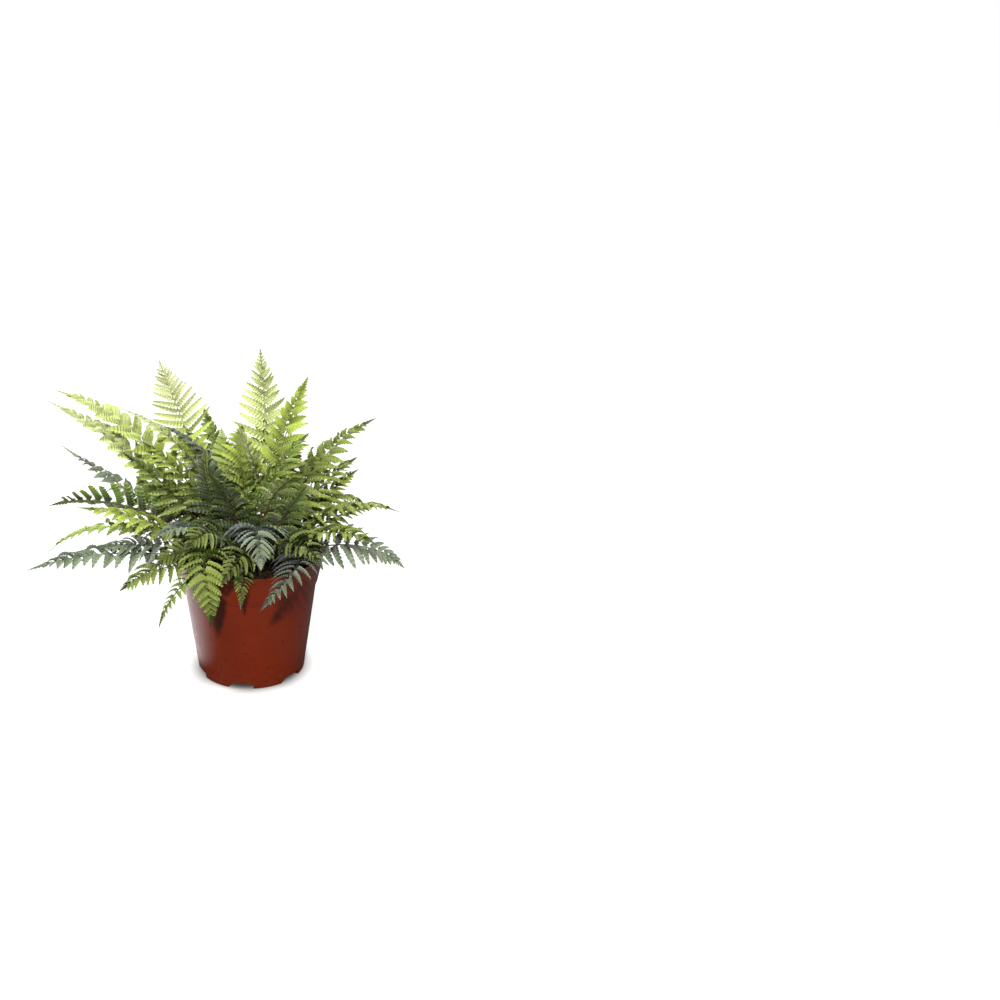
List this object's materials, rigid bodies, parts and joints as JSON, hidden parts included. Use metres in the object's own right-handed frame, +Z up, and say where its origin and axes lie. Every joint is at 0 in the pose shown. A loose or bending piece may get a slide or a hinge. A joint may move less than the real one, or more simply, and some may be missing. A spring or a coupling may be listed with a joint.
{
  "type": "potted fern",
  "caption": "Clump-forming fern with arching toothed fronds, growing from a scaly crown in soil in a round tapered plastic nursery pot that stands on its flat base.",
  "frame": {"origin": "centre of the pot's flat base, on the surface that the pot stands on", "axes": "+Z up along the pot's axis, -Y towards the viewer, +X to the viewer's right"},
  "size_m": [0.2895, 0.2489, 0.2473],
  "materials": {
    "pot": "satin terracotta-coloured moulded plastic",
    "soil": "dark crumbly potting soil, modelled as a plain solid",
    "crown": "dark brown scaly rhizome",
    "mature_leaf": "dark green fern frond, soft sheen",
    "young_leaf": "pale yellow-green young fern frond",
    "silver_leaf": "silvery grey-green fern frond"
  },
  "bodies": {
    "root": {"pot": "pot", "soil": "soil", "crown": "crown", "frond_pale_left": "young_leaf", "frond_tall_right": "young_leaf", "frond_blue_arch": "silver_leaf", "frond_arch_upper": "young_leaf", "frond_arch_lower": "young_leaf", "frond_long_low_left": "silver_leaf", "frond_bright_front": "young_leaf", "frond_silver_front": "silver_leaf", "frond_silver_hang": "silver_leaf", "frond_right_low": "silver_leaf", "frond_upstanding_left": "mature_leaf", "frond_yellow_left": "young_leaf", "frond_thin_left": "mature_leaf", "frond_grey_far_left": "silver_leaf", "frond_low_left": "mature_leaf", "frond_hang_left_tip": "mature_leaf", "frond_small_front": "mature_leaf", "frond_dark_centre": "mature_leaf", "frond_narrow_yellow": "young_leaf", "frond_curled_young": "young_leaf", "frond_yellow_right": "young_leaf", "frond_dark_right": "mature_leaf", "frond_silver_near": "silver_leaf", "frond_back_right": "young_leaf", "frond_arch_right": "mature_leaf", "frond_mound_1": "mature_leaf", "frond_mound_2": "mature_leaf", "frond_mound_3": "mature_leaf", "frond_mound_4": "young_leaf", "frond_mound_5": "mature_leaf", "frond_mound_6": "mature_leaf", "frond_mound_7": "mature_leaf", "frond_mound_8": "young_leaf", "frond_mound_9": "mature_leaf", "frond_mound_10": "silver_leaf", "frond_mound_11": "mature_leaf", "frond_mound_12": "silver_leaf", "frond_mound_13": "mature_leaf", "frond_mound_14": "mature_leaf", "frond_mound_15": "mature_leaf", "frond_mound_16": "mature_leaf", "frond_mound_17": "mature_leaf", "frond_mound_18": "mature_leaf", "frond_mound_19": "young_leaf", "frond_mound_20": "young_leaf", "frond_low_1": "mature_leaf", "frond_low_2": "young_leaf", "frond_low_3": "mature_leaf", "frond_low_4": "mature_leaf", "frond_middle_1": "young_leaf", "frond_middle_2": "young_leaf", "frond_middle_3": "young_leaf", "frond_middle_4": "young_leaf", "frond_middle_5": "mature_leaf", "frond_high_1": "young_leaf", "frond_high_2": "mature_leaf", "frond_high_3": "mature_leaf"}
  },
  "joints": []
}
